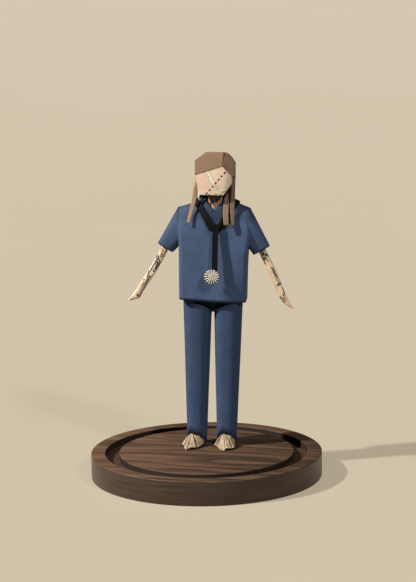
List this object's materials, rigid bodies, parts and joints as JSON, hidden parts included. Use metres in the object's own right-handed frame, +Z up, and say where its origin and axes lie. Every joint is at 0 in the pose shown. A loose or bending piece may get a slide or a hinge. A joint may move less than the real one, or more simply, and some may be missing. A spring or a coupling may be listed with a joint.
{
  "type": "folded paper figure",
  "caption": "Folded paper figure in a blue tunic and trousers with a black paper listening tube round its neck, standing on a round turned wooden base with a dome groove.",
  "frame": {"origin": "centre of the base's underside, on the surface it stands on", "axes": "+Z up, -Y the way the figure faces, +X to the figure's own left"},
  "size_m": [0.12, 0.12, 0.1695],
  "materials": {
    "walnut": "oiled, satin",
    "map_paper": "printed, matt",
    "blue_paper": "matt",
    "kraft_paper": "matt",
    "black_paper": "matt",
    "rosette_paper": "printed, matt",
    "card": "matt",
    "steel_wire": "drawn"
  },
  "bodies": {
    "figure": {"base": "walnut", "right_leg_rod": "steel_wire", "left_leg_rod": "steel_wire", "right_foot": "map_paper", "left_foot": "map_paper", "right_trouser_leg": "blue_paper", "left_trouser_leg": "blue_paper", "trouser_seat": "blue_paper", "trouser_gusset": "blue_paper", "torso_core": "card", "shoulder_wire": "steel_wire", "tunic_front": "blue_paper", "tunic_back": "blue_paper", "right_collar": "blue_paper", "left_collar": "blue_paper", "neck": "map_paper", "neck_pin": "steel_wire", "neck_strap": "black_paper", "strap_keeper": "black_paper"},
    "head": {"head_core": "card", "face": "map_paper", "hair_fringe": "kraft_paper", "hair_side": "kraft_paper", "hair_back": "kraft_paper"},
    "right_lock": {"right_strand": "kraft_paper"},
    "left_inner_lock": {"left_inner_strand": "kraft_paper"},
    "left_outer_lock": {"left_outer_strand": "kraft_paper"},
    "right_limb": {"right_sleeve": "blue_paper", "right_arm": "map_paper", "right_arm_wire": "steel_wire"},
    "left_limb": {"left_sleeve": "blue_paper", "left_arm": "map_paper", "left_arm_wire": "steel_wire"},
    "hanging_tail": {"strap_tail": "black_paper", "rosette_backing": "card", "rosette": "rosette_paper"}
  },
  "joints": [
    {"name": "head_turn", "type": "hinge", "parent": "figure", "child": "head", "pos_m": [0.00502, 0.0142, 0.14714], "axis": [0.0236, 0, 0.9997], "range_deg": [-6, 6]},
    {"name": "right_lock_lift", "type": "hinge", "parent": "head", "child": "right_lock", "pos_m": [-0.00431, 0.0085, 0.15667], "axis": [-0.9997, 0, 0.0236], "range_deg": [0, 25]},
    {"name": "left_inner_lock_lift", "type": "hinge", "parent": "head", "child": "left_inner_lock", "pos_m": [0.01388, 0.0149, 0.15804], "axis": [-0.9997, 0, 0.0236], "range_deg": [0, 8]},
    {"name": "left_outer_lock_lift", "type": "hinge", "parent": "head", "child": "left_outer_lock", "pos_m": [0.01454, 0.0114, 0.15452], "axis": [-0.9997, 0, 0.0236], "range_deg": [0, 25]},
    {"name": "right_arm_raise", "type": "hinge", "parent": "figure", "child": "right_limb", "pos_m": [-0.01518, 0.014, 0.13902], "axis": [0, 1, 0], "range_deg": [0, 35]},
    {"name": "left_arm_raise", "type": "hinge", "parent": "figure", "child": "left_limb", "pos_m": [0.02321, 0.014, 0.13811], "axis": [0, -1, 0], "range_deg": [0, 35]},
    {"name": "tail_swing", "type": "hinge", "parent": "figure", "child": "hanging_tail", "pos_m": [0.00556, 0.00366, 0.12763], "axis": [-0.9997, 0, 0.0236], "range_deg": [0, 50]}
  ]
}
